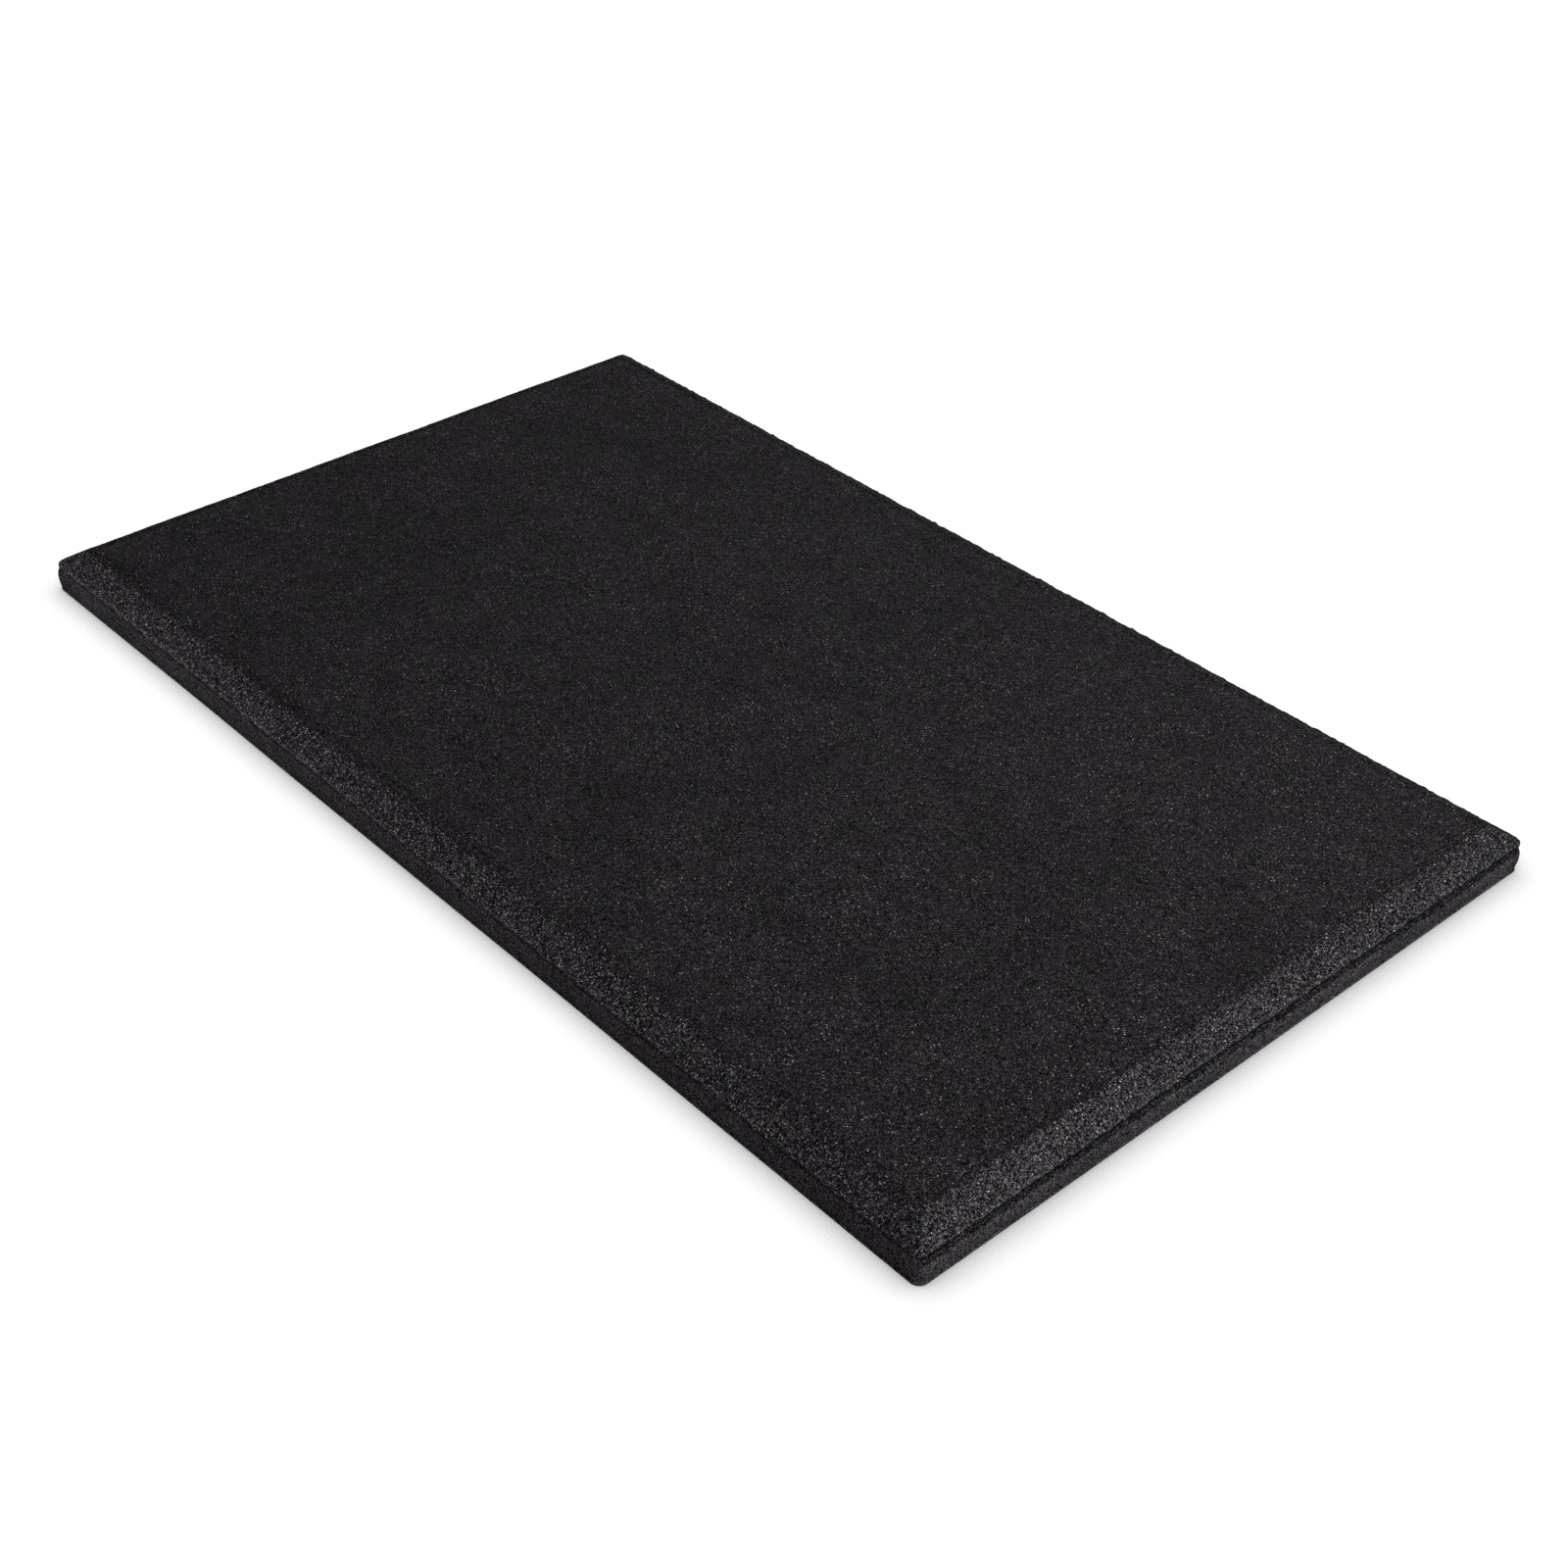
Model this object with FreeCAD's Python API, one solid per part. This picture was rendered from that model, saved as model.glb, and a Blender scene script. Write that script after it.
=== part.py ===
"""Anti-fatigue standing mat: a bonded stack of layers, bevelled on all four sides.

Millimetres. +X is the long side, +Y the short side, +Z up. The origin is on the floor,
under the middle of the mat. From the top down the stack is a pebbled wear skin that is
formed over the top and the bevels, a bond film, a foam core whose cut sides bulge a
little, a second bond film and a grip sheet that lies on the floor.
"""

import FreeCAD, Part
import math
import os

# Overall size, over the widest part of the side walls.
MAT_LENGTH = 762.0
MAT_WIDTH = 450.0
MAT_HEIGHT = 28.0

# Side wall and bevel. The wall is widest half way up, and WALL_BULGE narrower at the
# floor and at the lip, which is the outer edge of the bevel.
WALL_BULGE = 1.2
LIP_HEIGHT = 18.0
BEVEL_WIDTH = 15.0
CORNER_RADIUS = 6.2
PLATEAU_CORNER_RADIUS = 3.0
LEAST_RADIUS = 0.5
LEAST_WALL = 1e-6

# Thickness of each layer, measured square to its surface.
SKIN_THICKNESS = 2.0
FILM_THICKNESS = 0.3
BASE_THICKNESS = 1.6

# Worked out from the sizes above.
BEVEL_ANGLE = math.atan2(MAT_HEIGHT - LIP_HEIGHT, BEVEL_WIDTH)
CORE_DEPTH = SKIN_THICKNESS + FILM_THICKNESS
CORE_BOTTOM = BASE_THICKNESS + FILM_THICKNESS


def outline(inset, radius, height):
    """The mat's rounded rectangle as a closed wire, drawn in by inset, at a height."""
    centre_x = MAT_LENGTH / 2 - inset - radius
    centre_y = MAT_WIDTH / 2 - inset - radius
    corners = []
    for quarter, (side_x, side_y) in enumerate(((1, 1), (-1, 1), (-1, -1), (1, -1))):
        centre = FreeCAD.Vector(side_x * centre_x, side_y * centre_y, height)
        points = []
        for degrees in (90 * quarter, 90 * quarter + 45, 90 * quarter + 90):
            turn = math.radians(degrees)
            points.append(centre + FreeCAD.Vector(math.cos(turn), math.sin(turn), 0) * radius)
        corners.append(points)
    edges = []
    for corner, following in zip(corners, corners[1:] + corners[:1]):
        edges.append(Part.Arc(*corner).toShape())
        edges.append(Part.LineSegment(corner[2], following[0]).toShape())
    return Part.Wire(edges)


def lip_outline(height):
    """The outline of every layer where the mat is cut off square, at the lip."""
    return outline(WALL_BULGE, CORNER_RADIUS - WALL_BULGE, height)


def edge_height(depth):
    """Height at which the surface that lies depth below the bevel meets the cut edge."""
    return LIP_HEIGHT - depth / math.cos(BEVEL_ANGLE)


def bevelled_block(bottom, depth):
    """A solid from bottom up to the surface that lies depth below the mat's own top."""
    spread = depth * math.tan(BEVEL_ANGLE / 2)
    radius = max(PLATEAU_CORNER_RADIUS - spread, LEAST_RADIUS)
    edge = edge_height(depth)
    top = outline(WALL_BULGE + BEVEL_WIDTH + spread, radius, MAT_HEIGHT - depth)
    bevel = Part.makeLoft([lip_outline(edge), top], True, True)
    if edge - bottom < LEAST_WALL:
        return bevel
    wall = Part.Face(lip_outline(bottom)).extrude(FreeCAD.Vector(0, 0, edge - bottom))
    return wall.fuse(bevel).removeSplitter()


def layer(outer_depth, inner_depth):
    """The formed layer between two depths, cut off square at the lip."""
    bottom = edge_height(inner_depth)
    return bevelled_block(bottom, outer_depth).cut(bevelled_block(bottom, inner_depth))


def flat_layer(bottom, thickness):
    """A flat sheet with the outline of the mat's foot."""
    return Part.Face(lip_outline(bottom)).extrude(FreeCAD.Vector(0, 0, thickness))


def foam_core():
    """The foam: side walls that bulge half way up, and the formed top above them."""
    edge = edge_height(CORE_DEPTH)
    middle = outline(0.0, CORNER_RADIUS, (CORE_BOTTOM + edge) / 2)
    sides = Part.makeLoft([lip_outline(CORE_BOTTOM), middle, lip_outline(edge)], True, False)
    top = bevelled_block(edge, CORE_DEPTH)
    return sides.fuse(top).removeSplitter()


PIECES = {
    "top_wear_skin": layer(0.0, SKIN_THICKNESS),
    "skin_bond_film": layer(SKIN_THICKNESS, CORE_DEPTH),
    "cushion_core": foam_core(),
    "base_bond_film": flat_layer(BASE_THICKNESS, FILM_THICKNESS),
    "base_grip_sheet": flat_layer(0.0, BASE_THICKNESS),
}

os.makedirs("parts", exist_ok=True)
for name, shape in PIECES.items():
    shape.exportStep(f"parts/{name}.step")
    print(name, "valid", shape.isValid(), "volume", round(shape.Volume))
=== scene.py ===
"""The looks of an anti-fatigue mat: a pebbled skin over bevelled foam on a grip sheet.

Metres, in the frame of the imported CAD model: X along the mat, Y across it, Z up from the
floor. Each CAD layer is stood for by a dense closed mesh of about its size, which carries
the rounded edges, the rough cut edge and the lumps of the real surface. The finest grain,
under a millimetre across, is left to the materials as bump and colour.
"""

import itertools
import math

import bpy
import numpy as np
from mathutils import Matrix, Vector


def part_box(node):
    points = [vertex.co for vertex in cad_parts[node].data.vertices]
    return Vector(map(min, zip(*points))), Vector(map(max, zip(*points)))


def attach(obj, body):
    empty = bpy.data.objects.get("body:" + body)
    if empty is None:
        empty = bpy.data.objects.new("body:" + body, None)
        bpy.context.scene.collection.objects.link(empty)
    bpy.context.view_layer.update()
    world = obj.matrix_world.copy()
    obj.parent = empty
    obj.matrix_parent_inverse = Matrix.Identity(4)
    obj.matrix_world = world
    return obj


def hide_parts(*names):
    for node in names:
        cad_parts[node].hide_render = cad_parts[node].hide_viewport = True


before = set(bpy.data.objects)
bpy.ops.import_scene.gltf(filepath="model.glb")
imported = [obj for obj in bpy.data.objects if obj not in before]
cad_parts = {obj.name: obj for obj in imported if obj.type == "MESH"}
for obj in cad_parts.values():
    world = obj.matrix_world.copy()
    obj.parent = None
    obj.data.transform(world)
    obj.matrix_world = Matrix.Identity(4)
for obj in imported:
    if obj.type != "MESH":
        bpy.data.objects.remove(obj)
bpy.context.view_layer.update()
scene = bpy.context.scene

MM = 0.001

# --- Sizes read from the CAD layers -------------------------------------------------


def reach_x(node, lowest):
    """How far a CAD node reaches along +X, among its points above a height."""
    points = [v.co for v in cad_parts[node].data.vertices]
    return max(p.x for p in points if p.z >= lowest)


skin_low, skin_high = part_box("top_wear_skin")
film_low, film_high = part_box("skin_bond_film")
core_low, core_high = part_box("cushion_core")
base_low, base_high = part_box("base_grip_sheet")

HALF_LENGTH = skin_high.x
HALF_WIDTH = skin_high.y
MAT_TOP = skin_high.z
SKIN_EDGE_BOTTOM = skin_low.z
SKIN_UNDERSIDE = film_high.z
CORE_TOP = core_high.z
CORE_EDGE_TOP = film_low.z
CORE_BOTTOM = core_low.z
CORE_BULGE = core_high.x - skin_high.x
BASE_TOP = base_high.z

A_HAIR = 0.01 * MM
BEVEL_WIDTH = HALF_LENGTH - reach_x("top_wear_skin", MAT_TOP - A_HAIR)
UNDERSIDE_WIDTH = HALF_LENGTH - reach_x("skin_bond_film", SKIN_UNDERSIDE - A_HAIR)
SLOPE = (SKIN_UNDERSIDE - SKIN_EDGE_BOTTOM) / UNDERSIDE_WIDTH
LIP_HEIGHT = MAT_TOP - SLOPE * BEVEL_WIDTH

# --- Sections: heights at an inset from the lip outline -----------------------------

EDGE_FILLET = 1.6 * MM
GROOVE_DEPTH = 0.7 * MM
GROOVE_PLACE = 2.7 * MM
GROOVE_WIDTH = 1.6 * MM


def top_height(inset):
    """The wear skin's face: the bevel, its rounded edge, a faint groove, the plateau."""
    past = min(max(BEVEL_WIDTH + EDGE_FILLET - inset, 0.0), 2 * EDGE_FILLET)
    straight = max(BEVEL_WIDTH - EDGE_FILLET - inset, 0.0)
    groove = (inset - BEVEL_WIDTH - GROOVE_PLACE) / GROOVE_WIDTH
    fall = SLOPE * (past * past / (4 * EDGE_FILLET) + straight)
    return MAT_TOP - fall - GROOVE_DEPTH * math.exp(-groove * groove)


def underside_height(inset):
    """The wear skin's inner face."""
    return min(SKIN_EDGE_BOTTOM + SLOPE * inset, SKIN_UNDERSIDE)


def wall_inset(height):
    """The core's side wall, which bulges out beyond the lip half way up."""
    middle = (CORE_BOTTOM + CORE_EDGE_TOP) / 2
    share = (height - middle) / (CORE_EDGE_TOP - middle)
    return -CORE_BULGE * (1.0 - share * share)


# --- Meshes made of rings -----------------------------------------------------------

CORNER_RADIUS = 5.0 * MM
MITRE_RADIUS = 0.9 * MM
CORNER_FADE = 5.0 * MM


def corner_radius(inset):
    """Plan radius of the corners: rounded at the lip, and a crisp mitre further in."""
    if inset < 0.0:
        return CORNER_RADIUS - inset
    return max(CORNER_RADIUS * (1.0 - inset / CORNER_FADE), MITRE_RADIUS)


def side_points(half, other, count, radius):
    """Points along one side, corner to corner, and how far out each one lies."""
    place = np.linspace(-half, half, count, endpoint=False)
    straight = half - radius
    turn = np.clip(np.abs(place) - straight, 0.0, radius) / radius * math.pi / 4
    rounded = np.sign(place) * (straight + radius * np.sin(turn))
    return np.where(turn > 0.0, rounded, place), other - radius + radius * np.cos(turn)


def outline(steps, inset):
    """Points round the mat at an inset, anticlockwise from its near left corner."""
    half_x = HALF_LENGTH - inset
    half_y = HALF_WIDTH - inset
    radius = corner_radius(inset)
    near_x, near_y = side_points(half_x, half_y, steps[0], radius)
    right_y, right_x = side_points(half_y, half_x, steps[1], radius)
    near = np.stack([near_x, -near_y], axis=1)
    right = np.stack([right_x, right_y], axis=1)
    return np.concatenate([near, right, -near, -right])


def end_share(steps, inset):
    """How much each point of an outline belongs to a short end: 0 on the long sides, 1 on
    the ends, and a smooth change round each corner."""
    radius = corner_radius(inset)
    shares = []
    for half, count, on_end in ((HALF_LENGTH, steps[0], 0.0), (HALF_WIDTH, steps[1], 1.0)):
        place = np.abs(np.linspace(-half + inset, half - inset, count, endpoint=False))
        turn = np.clip((place - half + inset + radius) / radius, 0.0, 1.0)
        shares.append(on_end + (0.5 - on_end) * turn)
    return np.concatenate(shares + shares)


class Shell:
    """A closed mesh built from the middle of its underside outwards, up its side and back
    to the middle of its top. steps are the counts of points along and across the mat."""

    def __init__(self, steps):
        self.steps = steps
        self.count = 2 * sum(steps)
        self.points = np.zeros((0, 3))
        self.faces = []
        self.finishes = []
        self.last = None

    def add_points(self, flat, height):
        start = len(self.points)
        levels = np.broadcast_to(height, len(flat))
        self.points = np.concatenate([self.points, np.column_stack([flat, levels])])
        return start

    def add_face(self, loop, facing_up=True, finish=0):
        self.faces.append(tuple(loop) if facing_up else tuple(reversed(loop)))
        self.finishes.append(finish)

    def ring(self, inset, height, finish=0, long_side=None):
        """Adds a ring and joins it to the one before. On the long sides it can follow an
        inset, a height and a finish of their own."""
        share = end_share(self.steps, inset)
        long_inset, long_height, long_finish = long_side or (inset, height, finish)
        ends = outline(self.steps, inset)
        sides = outline(self.steps, long_inset)
        flat = sides + (ends - sides) * share[:, None]
        start = self.add_points(flat, long_height + (height - long_height) * share)
        if self.last is not None:
            for here in range(self.count):
                after = (here + 1) % self.count
                lower = (self.last + here, self.last + after)
                self.add_face((*lower, start + after, start + here),
                              finish=finish if share[here] > 0.5 else long_finish)
        self.last = start
        return start

    def flat_cap(self, ring, facing_up):
        self.add_face(range(ring, ring + self.count), facing_up)

    def grid_cap(self, ring, facing_up):
        """Closes a ring with a grid of every second point. Returns the grid's points."""
        along, across = self.steps
        columns = np.arange(along // 2 + 1)
        rows = np.arange(across // 2 + 1)
        near = ring + 2 * columns
        right = near[-1] + 2 * rows
        far = (right[-1] + 2 * columns)[::-1]
        left = (far[0] + 2 * rows)[::-1]
        left[0] = ring
        grid = np.zeros((len(rows), len(columns)), dtype=int)
        grid[0], grid[:, -1], grid[-1], grid[:, 0] = near, right, far, left
        inner_x, inner_y = np.meshgrid(self.points[near[1:-1], 0],
                                       self.points[right[1:-1], 1])
        inner = np.column_stack([inner_x.ravel(), inner_y.ravel()])
        start = self.add_points(inner, self.points[ring, 2])
        grid[1:-1, 1:-1] = start + np.arange(len(inner)).reshape(inner_x.shape)
        for row, column in itertools.product(rows[:-1], columns[:-1]):
            corners = (grid[row, column], grid[row, column + 1],
                       grid[row + 1, column + 1], grid[row + 1, column])
            on_edge = (row == 0, column == columns[-2], row == rows[-2], column == 0)
            loop = []
            for corner, split in zip(corners, on_edge):
                loop += [int(corner), int(corner) + 1] if split else [int(corner)]
            self.add_face(loop, facing_up)
        return grid

    def build(self, name, materials):
        mesh = bpy.data.meshes.new(name)
        mesh.from_pydata(self.points.tolist(), [], self.faces)
        for material in materials:
            mesh.materials.append(material)
        mesh.polygons.foreach_set("material_index", self.finishes)
        mesh.polygons.foreach_set("use_smooth", [True] * len(self.faces))
        mesh.update()
        piece = bpy.data.objects.new(name, mesh)
        scene.collection.objects.link(piece)
        return piece


# --- Unevenness ---------------------------------------------------------------------

# The drift of a cut made by hand, and the bow, skews and shift of the long sides, which are
# fitted to the outline in the photo.
HAND_CUT = 0.25 * MM
HAND_CUT_WAVE = 110 * MM
LONG_SIDE_BOW = 0.6 * MM
NEAR_SKEW = 0.5 * MM
FAR_SKEW = -0.4 * MM
FAR_SHIFT = 0.5 * MM


def lattice_noise(points, wavelength, seed):
    """Smooth random values from -1 to 1 that change over about one wavelength."""
    table = np.random.default_rng(seed).uniform(-1.0, 1.0, 4096)
    scaled = points / wavelength
    cell = np.floor(scaled).astype(np.int64)
    ease = (scaled - cell) ** 2 * (3.0 - 2.0 * (scaled - cell))
    total = np.zeros(len(points))
    for corner in itertools.product((0, 1), repeat=3):
        at = cell + corner
        key = (at[:, 0] * 73856093) ^ (at[:, 1] * 19349663) ^ (at[:, 2] * 83492791)
        total += np.prod(np.where(corner, ease, 1.0 - ease), axis=1) * table[key & 4095]
    return total


def smooth_step(values, low, high):
    """0 below low, 1 above high, and a smooth rise between them."""
    share = np.clip((values - low) / (high - low), 0.0, 1.0)
    return share * share * (3.0 - 2.0 * share)


def hand_cut(points):
    """Shifts in X and Y, the same in every layer: the drift of a cut made by hand, long
    sides cut slightly askew, and a near long side that bows in a little."""
    flat = points * (1.0, 1.0, 0.0)
    share = np.clip(points[:, 0] / HALF_LENGTH, -1.0, 1.0)
    near = np.clip(0.5 - points[:, 1] / (2 * HALF_WIDTH), 0.0, 1.0)
    points[:, 0] += HAND_CUT * lattice_noise(flat, HAND_CUT_WAVE, 3)
    points[:, 1] += HAND_CUT * lattice_noise(flat, HAND_CUT_WAVE, 4)
    points[:, 1] += (LONG_SIDE_BOW * (1.0 - share * share) + NEAR_SKEW * share) * near
    points[:, 1] += (FAR_SHIFT + FAR_SKEW * share) * (1.0 - near)


def roughen(piece, push, lift=None):
    """Moves each point along its normal by push(points) and up by lift(points), then by the
    drift of the cut."""
    mesh = piece.data
    points = np.empty(len(mesh.vertices) * 3)
    normals = np.empty(len(mesh.vertices) * 3)
    mesh.vertices.foreach_get("co", points)
    mesh.vertex_normals.foreach_get("vector", normals)
    points = points.reshape(-1, 3)
    normals = normals.reshape(-1, 3)
    shift = normals * push(points)[:, None]
    if lift is not None:
        shift[:, 2] += lift(points)
    points += shift
    hand_cut(points)
    mesh.vertices.foreach_set("co", points.ravel())
    mesh.update()


# --- Materials ----------------------------------------------------------------------

COOL = (1.04, 0.95, 1.06)
WARM = (1.05, 1.03, 0.88)

# Of each grained material: the mean grey, the gloss, the greatest slope of a grain, how
# unequal the grains' shades are (partly their own tone, partly painted glints), how much
# brighter the few painted glints are, and the size of its faint patches of cool and warm.
SKIN_ALBEDO = 0.0138
SKIN_GLOSS = 0.126
SKIN_TILT = 0.46
SKIN_SPREAD = 3.0
SKIN_PAINTED_GLINT = 14.0
SKIN_PATCH = 23 * MM

# The cut material's near-black grey is partly painted shade: it also colours the core's crease.
CUT_AND_SHADE_ALBEDO = 0.0027
CUT_GLOSS = 0.075
CUT_TILT = 0.6
CUT_SPREAD = 5.0
CUT_PAINTED_GLINT = 24.0
CUT_PATCH = 12 * MM

FOAM_ALBEDO = 0.0220
FOAM_GLOSS = 0.006
FOAM_TILT = 0.35
FOAM_SPREAD = 1.2
FOAM_PAINTED_GLINT = 2.0
FOAM_PATCH = 14 * MM

BASE_ALBEDO = 0.0240
BASE_GLOSS = 0.006
BASE_TILT = 0.25
BASE_SPREAD = 1.0
BASE_PAINTED_GLINT = 0.0
BASE_PATCH = 14 * MM

FILM_ALBEDO = 0.08
FILM_GLOSS = 0.5
FILM_PATCH = 12 * MM
FILM_BLOTCH = 6 * MM
FILM_RISE_MM = 0.1

PEBBLE_SIZE = 0.60 * MM
# Painted glints: the share of grains that are made many times brighter in the colour.
PAINTED_GLINT_CHANCE = 0.98
GAP_START = 0.50
GAP_END = 0.75
# Painted shade: how dark the gaps between grains are made in the colour.
GAP_PAINTED_SHADE = 0.06
GAP_ROUGHNESS = 0.6
SMOOTHEST_GRAIN = 0.15
ROUGHEST_GRAIN = 0.38
LEAST_ROUGHNESS = 0.1
# Painted sheen: the size of broad patches made paler and darker in the colour, and how dark and
# how pale.
SHEEN_MOTTLE_SIZE = 17 * MM
SHEEN_MOTTLE_DARK = 0.85
SHEEN_MOTTLE_PALE = 1.15
WARM_FROM = 0.54
WARM_TO = 0.68


def grey(level, tint):
    return [level * part for part in tint] + [1.0]


class Nodes:
    """Writes one material's node tree."""

    def __init__(self, name):
        self.material = bpy.data.materials.new(name)
        self.material.use_nodes = True
        self.tree = self.material.node_tree
        self.shader = self.tree.nodes["Principled BSDF"]
        self.place = self.tree.nodes.new("ShaderNodeTexCoord").outputs["Object"]

    def feed(self, socket, value):
        if isinstance(value, bpy.types.NodeSocket):
            self.tree.links.new(value, socket)
        else:
            socket.default_value = value

    def new(self, kind, inputs, **settings):
        node = self.tree.nodes.new(kind)
        for key, value in settings.items():
            setattr(node, key, value)
        for key, value in inputs.items():
            self.feed(node.inputs[key], value)
        return node

    def noise(self, size, detail=0.0):
        return self.new("ShaderNodeTexNoise", {
            "Vector": self.place, "Scale": 1.0 / size, "Detail": detail}).outputs["Fac"]

    def facets(self, size, tilt):
        """Flat grains of about one size that each lean their own way by up to a slope tilt:
        their height in millimetres, the distance from their middles, a chance each."""
        node = self.new("ShaderNodeTexVoronoi", {"Vector": self.place, "Scale": 1.0 / size})
        within = self.vector("SUBTRACT", self.place, node.outputs["Position"])
        lean = self.vector("MULTIPLY_ADD", node.outputs["Color"], (2 * tilt / MM,) * 3,
                           (-tilt / MM,) * 3)
        height = self.new("ShaderNodeVectorMath", {0: within.outputs["Vector"],
                          1: lean.outputs["Vector"]}, operation="DOT_PRODUCT")
        chance = self.new("ShaderNodeSeparateColor", {"Color": node.outputs["Color"]})
        return height.outputs["Value"], node.outputs["Distance"], chance.outputs["Blue"]

    def vector(self, operation, *values):
        return self.new("ShaderNodeVectorMath", dict(enumerate(values)), operation=operation)

    def math(self, operation, *values):
        node = self.new("ShaderNodeMath", dict(enumerate(values)), operation=operation)
        return node.outputs[0]

    def span(self, value, low, high, to_low, to_high):
        return self.new("ShaderNodeMapRange", {
            "Value": value, "From Min": low, "From Max": high,
            "To Min": to_low, "To Max": to_high}).outputs["Result"]

    def mix(self, share, first, second):
        node = self.new("ShaderNodeMix", {0: share, 6: first, 7: second}, data_type="RGBA")
        return node.outputs[2]

    def patches(self, level, size):
        """A dark grey that drifts between cool and warm, as faint dust does."""
        share = self.span(self.noise(size, detail=1.0), WARM_FROM, WARM_TO, 0.0, 1.0)
        return self.mix(share, grey(level, COOL), grey(level, WARM))

    def finish(self, colour, shade, roughness, height_mm, gloss):
        """Joins the shader's inputs. shade scales the colour; height is in millimetres."""
        shaded = self.new("ShaderNodeVectorMath", {0: colour, "Scale": shade},
                          operation="SCALE")
        bump = self.new("ShaderNodeBump", {"Height": height_mm, "Distance": MM})
        self.feed(self.shader.inputs["Base Color"], shaded.outputs["Vector"])
        self.feed(self.shader.inputs["Roughness"], roughness)
        self.feed(self.shader.inputs["Normal"], bump.outputs["Normal"])
        self.shader.inputs["Specular IOR Level"].default_value = gloss
        return self.material


def pebbled(n, colour, tilt, gloss, spread, glint):
    """A dense grain of flat facets. Each leans its own way and has its own shade and
    roughness, with a mean shade near 1, partly the grain's own tone and partly painted glints;
    a few carry much brighter painted glints, the gaps between them get near-black painted
    shade and are dull, and broad paler and darker patches of painted sheen lie over all."""
    height, middle, chance = n.facets(PEBBLE_SIZE, tilt)
    gap = n.span(middle, GAP_START, GAP_END, 0.0, 1.0)
    # Painted shade: the gaps between grains darkened to near black.
    painted_gap_shade = n.span(gap, 0.0, 1.0, 1.0, GAP_PAINTED_SHADE)
    # Per-grain shade: partly the grains' own tone, partly painted glints, a few grains far
    # paler.
    tone_and_glint_shade = n.math("MULTIPLY", n.math("POWER", chance, spread), spread + 1.0)
    # Painted glints: a few grains made many times brighter in the colour.
    painted_glint = n.span(chance, PAINTED_GLINT_CHANCE, 1.0, 0.0, glint)
    # Painted sheen: broad patches made paler and darker in the colour.
    painted_sheen_mottle = n.span(n.noise(SHEEN_MOTTLE_SIZE, detail=2.0), 0.3, 0.7, SHEEN_MOTTLE_DARK, SHEEN_MOTTLE_PALE)
    shade = n.math("MULTIPLY", n.math("MULTIPLY_ADD", tone_and_glint_shade, painted_gap_shade, painted_glint), painted_sheen_mottle)
    roughness = n.math("MAXIMUM",
                       n.span(chance, 0.0, 1.0, SMOOTHEST_GRAIN, ROUGHEST_GRAIN),
                       n.span(gap, 0.0, 1.0, LEAST_ROUGHNESS, GAP_ROUGHNESS))
    return n.finish(colour, shade, roughness, height, gloss)


def wear_skin_material():
    """Black vinyl with a dense pebble grain, glossier than the foam and the grip sheet."""
    n = Nodes("wear_skin")
    return pebbled(n, n.patches(SKIN_ALBEDO, SKIN_PATCH), SKIN_TILT, SKIN_GLOSS,
                   SKIN_SPREAD, SKIN_PAINTED_GLINT)


def cut_edge_and_shade_material():
    """The skin's cut edge, torn open foam, and the crease in the top of the core's wall: mostly
    black, partly the edge's own dark colour and partly painted shade under the lip, with a few
    painted glints.
    """
    n = Nodes("cut_edge_and_painted_shade")
    return pebbled(n, n.patches(CUT_AND_SHADE_ALBEDO, CUT_PATCH), CUT_TILT, CUT_GLOSS, CUT_SPREAD,
                   CUT_PAINTED_GLINT)


def foam_material():
    """The core's cut side: fine closed cells, smoother than the skin."""
    n = Nodes("foam_core")
    return pebbled(n, n.patches(FOAM_ALBEDO, FOAM_PATCH), FOAM_TILT, FOAM_GLOSS,
                   FOAM_SPREAD, FOAM_PAINTED_GLINT)


def film_material():
    """Cured adhesive: a dark grey film, paler and glossier where it ran thick."""
    n = Nodes("bond_film")
    blotch = n.noise(FILM_BLOTCH, detail=3.0)
    shade = n.span(blotch, 0.3, 0.7, 0.6, 1.4)
    roughness = n.span(blotch, 0.3, 0.7, 0.6, 0.35)
    height = n.math("MULTIPLY", blotch, FILM_RISE_MM)
    return n.finish(n.patches(FILM_ALBEDO, FILM_PATCH), shade, roughness, height,
                    FILM_GLOSS)


def grip_material():
    """The grip sheet: matt rubber with a fine cast grain, a little flatter than the foam."""
    n = Nodes("base_grip")
    return pebbled(n, n.patches(BASE_ALBEDO, BASE_PATCH), BASE_TILT, BASE_GLOSS,
                   BASE_SPREAD, BASE_PAINTED_GLINT)


# --- The layers ---------------------------------------------------------------------

SKIN_STEPS = (600, 340)
CORE_STEPS = (600, 340)
FILM_STEPS = (240, 136)
BASE_STEPS = (624, 360)

BEVEL_START = 0.9 * MM
BEVEL_ROW = 1.5 * MM
BEVEL_ROWS = 15
GRID_INSET = 23.5 * MM
FILM_INSET = 1.9 * MM
HIDDEN_INSET = 6.0 * MM

# The skin's cut edge, as inset and rise in mm above its lower edge, from its inner corner up
# to the bevel. On the short ends the cut is a torn face in the near-black material, its own
# dark colour with painted shade under the lip. On the long sides it is pressed flush with
# the core and looks like the rest of the skin.
FACE = 0
# The second finish is near black: the torn edge's own dark colour, and painted shade in the
# core's crease.
CUT_AND_SHADE = 1
CUT_END = ((1.3, 0.3), (0.8, 0.05), (0.35, 0.2), (0.2, 0.7), (0.15, 1.2), (0.15, 1.7),
           (0.3, 2.25))
CUT_SIDE = ((1.2, 0.3), (0.7, 0.0), (0.15, 0.05), (0.0, 0.5), (-0.05, 1.1), (-0.05, 1.7),
            (0.05, 2.2))
SIDE_DROOP = 0.05 * MM
SIDE_ROLL = 2.0 * MM

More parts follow.
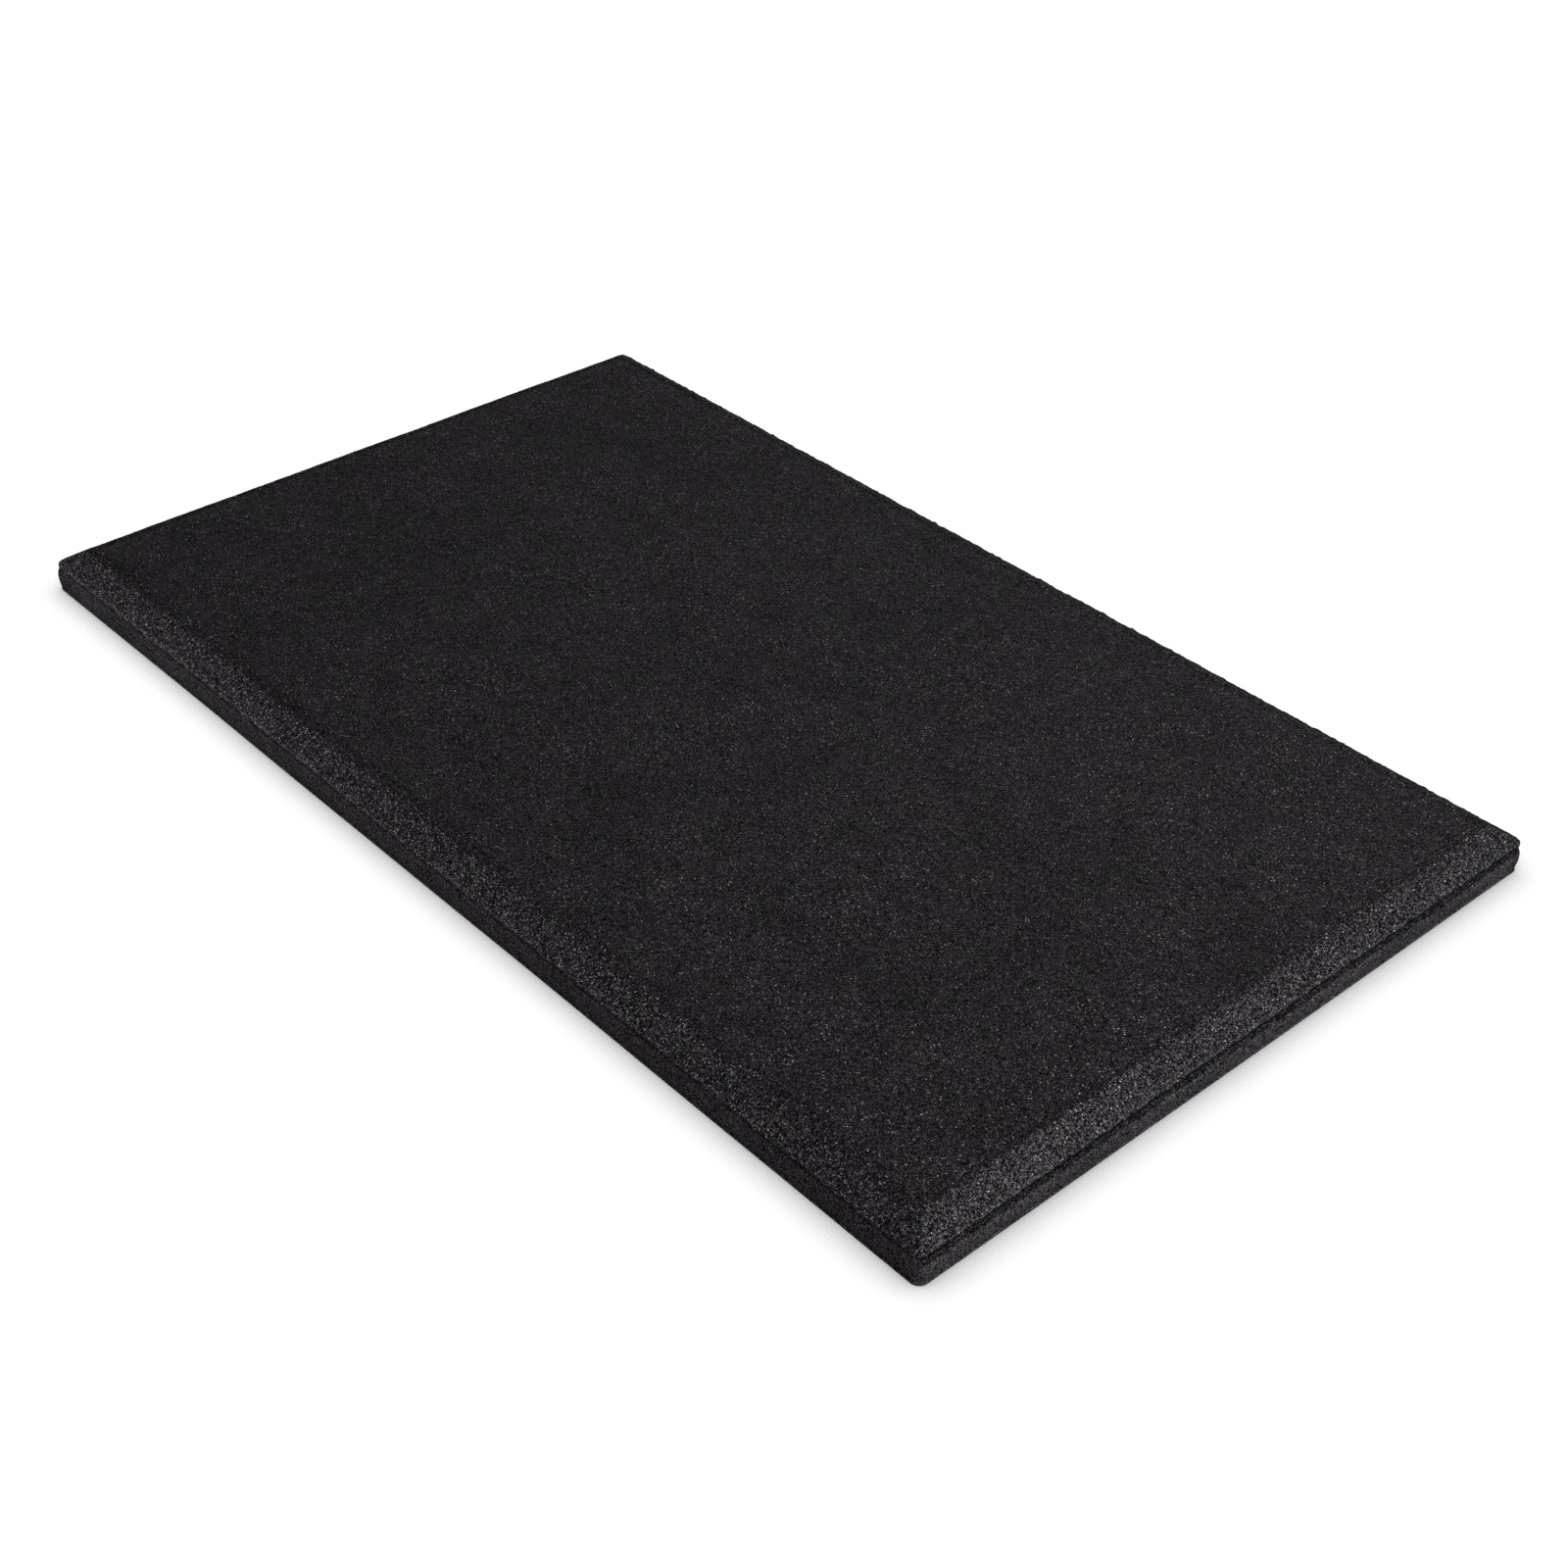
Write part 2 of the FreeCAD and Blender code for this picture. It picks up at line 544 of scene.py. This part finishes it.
# The crease on the short ends, in the top of the core's wall, recessed and coloured near
# black as painted shade under the lip: its height, how softly it starts, and how far it goes in.
CREASE = 3.0 * MM
CREASE_EDGE = 0.6 * MM
RECESS = 0.9 * MM

# Ragged lip and crease: tears and crumbs, how high and how long.
JAG = 0.45 * MM
JAG_LENGTH = 3.4 * MM
CRUMB = 0.35 * MM
CRUMB_LENGTH = 1.4 * MM

# Unevenness of the skin's face, from broad to fine: how high and how long.
WAVE = 0.16 * MM
WAVE_LENGTH = 31 * MM
LUMP = 0.10 * MM
LUMP_LENGTH = 4.6 * MM
PEBBLE = 0.08 * MM
PEBBLE_LENGTH = 2.9 * MM
GRAIN = 0.09 * MM

# Unevenness of the core's wall, and of the torn edges of both.
WALL_LUMP = 0.10 * MM
WALL_LUMP_LENGTH = 7 * MM
WALL_PIT_LENGTH = 3 * MM
FRAY = 0.5 * MM
SKIN_FRAY_LENGTH = 3.4 * MM
CORE_FRAY_LENGTH = 3.8 * MM


def inset_of(points):
    """How far each point lies inside the lip's outline, on its nearest side."""
    return np.minimum(HALF_LENGTH - np.abs(points[:, 0]), HALF_WIDTH - np.abs(points[:, 1]))


def lip_lift(points):
    """Rises that make the lip, and the lower edge of the dark crease under it, ragged."""
    flat = points * (1.0, 1.0, 0.0)
    crumbs = CRUMB * lattice_noise(flat, CRUMB_LENGTH, 33)
    upper = JAG * lattice_noise(flat, JAG_LENGTH, 31) + crumbs
    lower = 1.6 * JAG * lattice_noise(flat, 1.4 * JAG_LENGTH, 32) - 1.5 * crumbs
    shown = 1.0 - smooth_step(inset_of(points), 0.9 * MM, 2.2 * MM)
    lip = smooth_step(points[:, 2], LIP_HEIGHT - 1.5 * MM, LIP_HEIGHT - 0.5 * MM)
    wall = smooth_step(points[:, 2], CORE_EDGE_TOP - 1.8 * CREASE, CORE_EDGE_TOP - CREASE)
    wall *= 1.0 - smooth_step(points[:, 2], CORE_EDGE_TOP - CREASE, CORE_EDGE_TOP)
    return shown * (lip * upper + wall * lower)


def skin_push(points):
    """Broad waves and pebbly lumps on the face, and a torn, crumbling cut edge."""
    waves = WAVE * lattice_noise(points, WAVE_LENGTH, 11)
    lumps = LUMP * lattice_noise(points, LUMP_LENGTH, 12)
    lumps += PEBBLE * lattice_noise(points, PEBBLE_LENGTH, 13)
    grains = GRAIN * np.random.default_rng(14).uniform(-1.0, 1.0, len(points))
    fray = FRAY * lattice_noise(points, SKIN_FRAY_LENGTH, 15) + 1.6 * grains
    inset = inset_of(points)
    edge = 1.0 - smooth_step(points[:, 2], LIP_HEIGHT - 0.2 * MM, LIP_HEIGHT + 0.4 * MM)
    face = 1.0 - edge
    on_bevel = 1.0 - smooth_step(inset, BEVEL_WIDTH, BEVEL_WIDTH + 2 * EDGE_FILLET)
    shown = 1.0 - smooth_step(inset, 2.5 * MM, 4.0 * MM)
    return face * (waves + lumps + on_bevel * grains) + edge * shown * fray


def wear_skin(face, cut_and_shade):
    """The pebbled top: hidden inner face, rough cut edge, bevels and plateau."""
    shell = Shell(SKIN_STEPS)
    bottom = shell.ring(BEVEL_WIDTH + HIDDEN_INSET, SKIN_UNDERSIDE)
    shell.ring(HIDDEN_INSET, underside_height(HIDDEN_INSET))
    shell.ring(FILM_INSET, underside_height(FILM_INSET))
    for (end_in, end_up), (side_in, side_up) in zip(CUT_END, CUT_SIDE):
        shell.ring(end_in * MM, SKIN_EDGE_BOTTOM + end_up * MM, CUT_AND_SHADE,
                   (side_in * MM, SKIN_EDGE_BOTTOM + side_up * MM, FACE))
    for row in range(BEVEL_ROWS):
        inset = BEVEL_START + row * BEVEL_ROW
        droop = SIDE_DROOP * math.exp(-inset / SIDE_ROLL)
        shell.ring(inset, top_height(inset), FACE, (inset, top_height(inset) - droop, FACE))
    top = shell.ring(GRID_INSET, MAT_TOP)
    shell.flat_cap(bottom, facing_up=False)
    shell.grid_cap(top, facing_up=True)
    piece = shell.build("pebbled_wear_skin", (face, cut_and_shade))
    roughen(piece, skin_push, lip_lift)
    return piece


def core_push(points):
    """A cut foam wall with low swells, and a crumbled top edge under the skin."""
    lumps = WALL_LUMP * lattice_noise(points, WALL_LUMP_LENGTH, 21)
    lumps += 0.5 * WALL_LUMP * lattice_noise(points, WALL_PIT_LENGTH, 22)
    fray = FRAY * lattice_noise(points, CORE_FRAY_LENGTH, 23)
    top_edge = smooth_step(points[:, 2], CORE_EDGE_TOP - 1.4 * MM, CORE_EDGE_TOP)
    shown = 1.0 - smooth_step(inset_of(points), 1.5 * MM, 3.0 * MM)
    return shown * (lumps + top_edge * fray)


def foam_core(foam, cut_and_shade):
    """The cushion: hidden underside, bulging wall, rounded edges and hidden top."""
    shell = Shell(CORE_STEPS)
    bottom = shell.ring(HIDDEN_INSET, CORE_BOTTOM)
    shell.ring(1.2 * MM, CORE_BOTTOM)
    shell.ring(0.3 * MM, CORE_BOTTOM + 0.05 * MM)
    crease_low = CORE_EDGE_TOP - CREASE
    for height in np.arange(CORE_BOTTOM + 0.5 * MM, CORE_EDGE_TOP - 0.4 * MM, 1.1 * MM):
        inset = wall_inset(height)
        recess = RECESS * smooth_step(height, crease_low - CREASE_EDGE, crease_low + CREASE_EDGE)
        # Painted shade: the crease rows take the near-black material.
        finish = CUT_AND_SHADE if height > crease_low + CREASE_EDGE else FACE
        shell.ring(inset + recess, height, finish, (inset, height, FACE))
    # The core's top edge on the ends is also near black: painted shade under the lip.
    shell.ring(1.2 * MM, CORE_EDGE_TOP - 0.1 * MM, CUT_AND_SHADE,
               (0.1 * MM, CORE_EDGE_TOP - 0.05 * MM, FACE))
    shell.ring(1.8 * MM, CORE_EDGE_TOP)
    shell.ring(HIDDEN_INSET, CORE_EDGE_TOP + SLOPE * (HIDDEN_INSET - FILM_INSET))
    top = shell.ring(BEVEL_WIDTH + HIDDEN_INSET, CORE_TOP)
    shell.flat_cap(bottom, facing_up=False)
    shell.flat_cap(top, facing_up=True)
    piece = shell.build("foam_cushion_core", (foam, cut_and_shade))
    roughen(piece, core_push, lip_lift)
    return piece


def unmoved(points):
    return np.zeros(len(points))


def skin_film(film):
    """The adhesive under the skin, drawn in from the cut edge."""
    thickness = film_high.z - CORE_TOP
    shell = Shell(FILM_STEPS)
    inner = BEVEL_WIDTH + HIDDEN_INSET
    bottom = shell.ring(inner, SKIN_UNDERSIDE - thickness)
    shell.ring(FILM_INSET, underside_height(FILM_INSET) - thickness / math.cos(math.atan(SLOPE)))
    shell.ring(FILM_INSET, underside_height(FILM_INSET))
    top = shell.ring(inner, SKIN_UNDERSIDE)
    shell.flat_cap(bottom, facing_up=False)
    shell.flat_cap(top, facing_up=True)
    piece = shell.build("skin_adhesive_film", (film,))
    roughen(piece, unmoved)
    return piece


def base_film(film):
    """The adhesive between the core and the grip sheet, drawn in from the edge."""
    shell = Shell(FILM_STEPS)
    bottom = shell.ring(FILM_INSET, BASE_TOP)
    top = shell.ring(FILM_INSET, CORE_BOTTOM)
    shell.flat_cap(bottom, facing_up=False)
    shell.flat_cap(top, facing_up=True)
    piece = shell.build("base_adhesive_film", (film,))
    roughen(piece, unmoved)
    return piece


GRIP_RIM = 6.0 * MM
GRIP_RECESS = 0.5 * MM
NUB_CELL = 4

# The sheet's cut edge, as inset and height in mm, from the floor up: its foot is pressed
# out a little beyond the core.
FLARED_EDGE = ((0.2, 0.0), (-0.3, 0.0), (-0.42, 0.12), (-0.35, 0.8))
EDGE_TOP_INSET = -0.15 * MM


def grip_sheet(rubber):
    """The base: a plain rim round a recessed field of round grip nubs, which reach the
    floor. A nub takes NUB_CELL grid steps each way, and its middle nine points stand out."""
    shell = Shell(BASE_STEPS)
    field = shell.ring(GRIP_RIM, GRIP_RECESS)
    shell.ring(GRIP_RIM - GRIP_RECESS, 0.0)
    for inset_mm, height_mm in FLARED_EDGE:
        shell.ring(inset_mm * MM, height_mm * MM)
    shell.ring(EDGE_TOP_INSET, BASE_TOP - 0.2 * MM)
    shell.ring(0.5 * MM, BASE_TOP)
    top = shell.ring(HIDDEN_INSET, BASE_TOP)
    grid = shell.grid_cap(field, facing_up=False)
    shell.flat_cap(top, facing_up=True)
    spot = np.arange(1, NUB_CELL)
    middle = NUB_CELL // 2
    for row in range(0, grid.shape[0] - 1, NUB_CELL):
        for column in range(0, grid.shape[1] - 1, NUB_CELL):
            nub = grid[np.ix_(row + spot, column + spot)]
            shell.points[nub, 2] = 0.0
            centre = shell.points[grid[row + middle, column + middle], :2]
            corners = nub[::2, ::2]
            offset = shell.points[corners, :2] - centre
            shell.points[corners, :2] = centre + offset * math.sqrt(0.5)
    piece = shell.build("grip_base_sheet", (rubber,))
    roughen(piece, unmoved)
    return piece


foam = foam_material()
film = film_material()
# The near-black material serves the skin's cut edge and, as painted shade, the core's crease.
cut_and_shade = cut_edge_and_shade_material()
skin_piece = wear_skin(wear_skin_material(), cut_and_shade)
core_piece = foam_core(foam, cut_and_shade)
skin_film_piece = skin_film(film)
base_film_piece = base_film(film)
base_piece = grip_sheet(grip_material())

for piece, node, slot in (
    (skin_piece, "top_wear_skin", "wear_skin"),
    (skin_film_piece, "skin_bond_film", "bond_film"),
    (core_piece, "cushion_core", "foam_core"),
    (base_film_piece, "base_bond_film", "bond_film"),
    (base_piece, "base_grip_sheet", "base_grip"),
):
    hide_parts(node)
    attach(piece, "root")

# --- Floor, light and camera --------------------------------------------------------

# The mat and the floor are lit apart, by light linking: softboxes for the mat alone, as if
# flagged off the floor, and one overhead glow for the floor alone.
FLOOR_SIZE = 30.0
FLOOR_GAP = 0.1 * MM
FLOOR_GREY = 0.92
FLOOR_ROUGHNESS = 0.9

BACKDROP = 1.0
HORIZON_GLOW = 0.7
CEILING_GLOW = 0.04
GLOW_TOP = 0.08

OVERHEAD_POWER = 3.5
OVERHEAD_SPREAD = math.radians(110.0)
LIGHT_TINT = (0.995, 0.95, 1.045)


def studio_floor():
    """A plain pale floor. It is left out of reflections, because a mat that mirrors it at a
    low angle gets a pale halo along its far edge."""
    mesh = bpy.data.meshes.new("studio_floor")
    half = FLOOR_SIZE / 2
    corners = [(-half, -half), (half, -half), (half, half), (-half, half)]
    mesh.from_pydata([(x, y, -FLOOR_GAP) for x, y in corners], [], [(0, 1, 2, 3)])
    n = Nodes("studio_floor")
    n.shader.inputs["Base Color"].default_value = grey(FLOOR_GREY, (1.0, 1.0, 1.0))
    n.shader.inputs["Roughness"].default_value = FLOOR_ROUGHNESS
    mesh.materials.append(n.material)
    floor = bpy.data.objects.new("studio_floor", mesh)
    scene.collection.objects.link(floor)
    floor.visible_glossy = False
    return floor


def studio_walls():
    """A world that the camera sees as a white backdrop. To everything else it is dim, with
    a band of light at the horizon."""
    world = bpy.data.worlds.new("studio_walls")
    world.use_nodes = True
    tree = world.node_tree
    background = tree.nodes["Background"]
    place = tree.nodes.new("ShaderNodeTexCoord")
    split = tree.nodes.new("ShaderNodeSeparateXYZ")
    glow = tree.nodes.new("ShaderNodeMapRange")
    glow.interpolation_type = "SMOOTHSTEP"
    glow.inputs["From Max"].default_value = GLOW_TOP
    glow.inputs["To Min"].default_value = HORIZON_GLOW
    glow.inputs["To Max"].default_value = CEILING_GLOW
    tree.links.new(place.outputs["Generated"], split.inputs["Vector"])
    height = tree.nodes.new("ShaderNodeMath")
    height.operation = "ABSOLUTE"
    tree.links.new(split.outputs["Z"], height.inputs[0])
    tree.links.new(height.outputs[0], glow.inputs["Value"])
    seen = tree.nodes.new("ShaderNodeLightPath")
    strength = tree.nodes.new("ShaderNodeMix")
    strength.inputs["B"].default_value = BACKDROP
    tree.links.new(seen.outputs["Is Camera Ray"], strength.inputs["Factor"])
    tree.links.new(glow.outputs["Result"], strength.inputs["A"])
    tree.links.new(strength.outputs["Result"], background.inputs["Strength"])
    background.inputs["Color"].default_value = (1.0, 1.0, 1.0, 1.0)
    scene.world = world


def softbox(name, place, size, power, lit):
    """A rectangular area light of a size and a power in watts that faces the middle of the
    mat and lights only the objects of the collection lit."""
    light = bpy.data.lights.new(name, "AREA")
    light.shape = "RECTANGLE"
    light.size, light.size_y = size
    light.energy = power
    light.color = LIGHT_TINT
    lamp = bpy.data.objects.new(name, light)
    lamp.location = place
    lamp.rotation_mode = "QUATERNION"
    lamp.rotation_quaternion = lamp.location.to_track_quat("Z", "Y")
    scene.collection.objects.link(lamp)
    lamp.light_linking.receiver_collection = lit


def overhead_glow(lit):
    """A wide, even glow from straight above, which makes every shadow short and soft."""
    light = bpy.data.lights.new("overhead_glow", "SUN")
    light.energy = OVERHEAD_POWER
    light.angle = OVERHEAD_SPREAD
    lamp = bpy.data.objects.new("overhead_glow", light)
    scene.collection.objects.link(lamp)
    lamp.light_linking.receiver_collection = lit


def collect(name, pieces):
    """A collection for light linking."""
    collection = bpy.data.collections.new(name)
    for piece in pieces:
        collection.objects.link(piece)
    return collection


# The camera, solved from the four edges of the mat in the photo.
CAMERA_PLACE = Vector((0.8475, -0.7351, 0.7725))
CAMERA_AIM = Vector((0.0681, -0.0216, 0.0))
CAMERA_ROLL = math.radians(1.033)
CAMERA_LENS = 54.16
SENSOR = 36.0


def product_camera():
    data = bpy.data.cameras.new("product_camera")
    data.lens = CAMERA_LENS
    data.sensor_width = SENSOR
    data.clip_end = 100.0
    camera = bpy.data.objects.new("product_camera", data)
    look = (CAMERA_AIM - CAMERA_PLACE).to_track_quat("-Z", "Y").to_matrix().to_4x4()
    roll = Matrix.Rotation(CAMERA_ROLL, 4, "Z")
    camera.matrix_world = Matrix.Translation(CAMERA_PLACE) @ look @ roll
    scene.collection.objects.link(camera)
    scene.camera = camera


floor = studio_floor()
studio_walls()
ground = collect("ground", (floor,))
mat = collect("mat", (skin_piece, core_piece, skin_film_piece, base_film_piece, base_piece))
overhead_glow(ground)
softbox("key_light", (1.5, 0.0, 0.57), (1.1, 0.75), 41.5, mat)
softbox("side_light", (1.3, 0.8, 0.22), (0.9, 0.35), 8.7, mat)
softbox("low_light", (-0.9, -1.2, 0.22), (0.9, 0.3), 20.5, mat)
softbox("back_light", (-0.3, 1.3, 1.5), (0.9, 0.8), 8.4, mat)
softbox("left_light", (-1.2, 0.8, 1.6), (0.9, 0.8), 4.4, mat)
product_camera()
scene.view_settings.view_transform = "Standard"
scene.cycles.use_denoising = False
